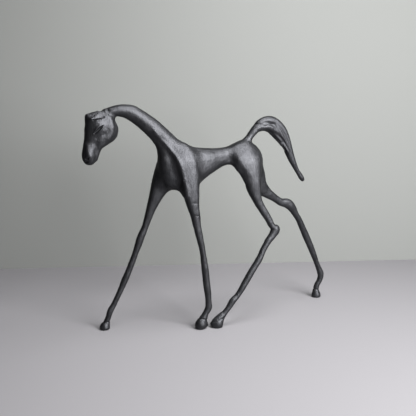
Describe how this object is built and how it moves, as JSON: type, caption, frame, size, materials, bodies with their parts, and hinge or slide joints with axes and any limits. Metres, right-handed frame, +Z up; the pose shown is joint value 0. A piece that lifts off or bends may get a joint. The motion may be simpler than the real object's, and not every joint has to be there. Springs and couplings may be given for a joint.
{
  "type": "horse sculpture",
  "caption": "Slender cast horse walking on long thin legs, head hung low on an arched neck and tail thrown back, finished satin black.",
  "frame": {"origin": "middle of the bounding box, on the surface that the hooves stand on", "axes": "+Z up, -X the way the head looks, -Y the side of the horse's own left"},
  "size_m": [0.4962, 0.0878, 0.3992],
  "materials": {
    "black_metal": "cast and hand filed, satin black"
  },
  "bodies": {
    "root": {"horse": "black_metal"}
  },
  "joints": []
}
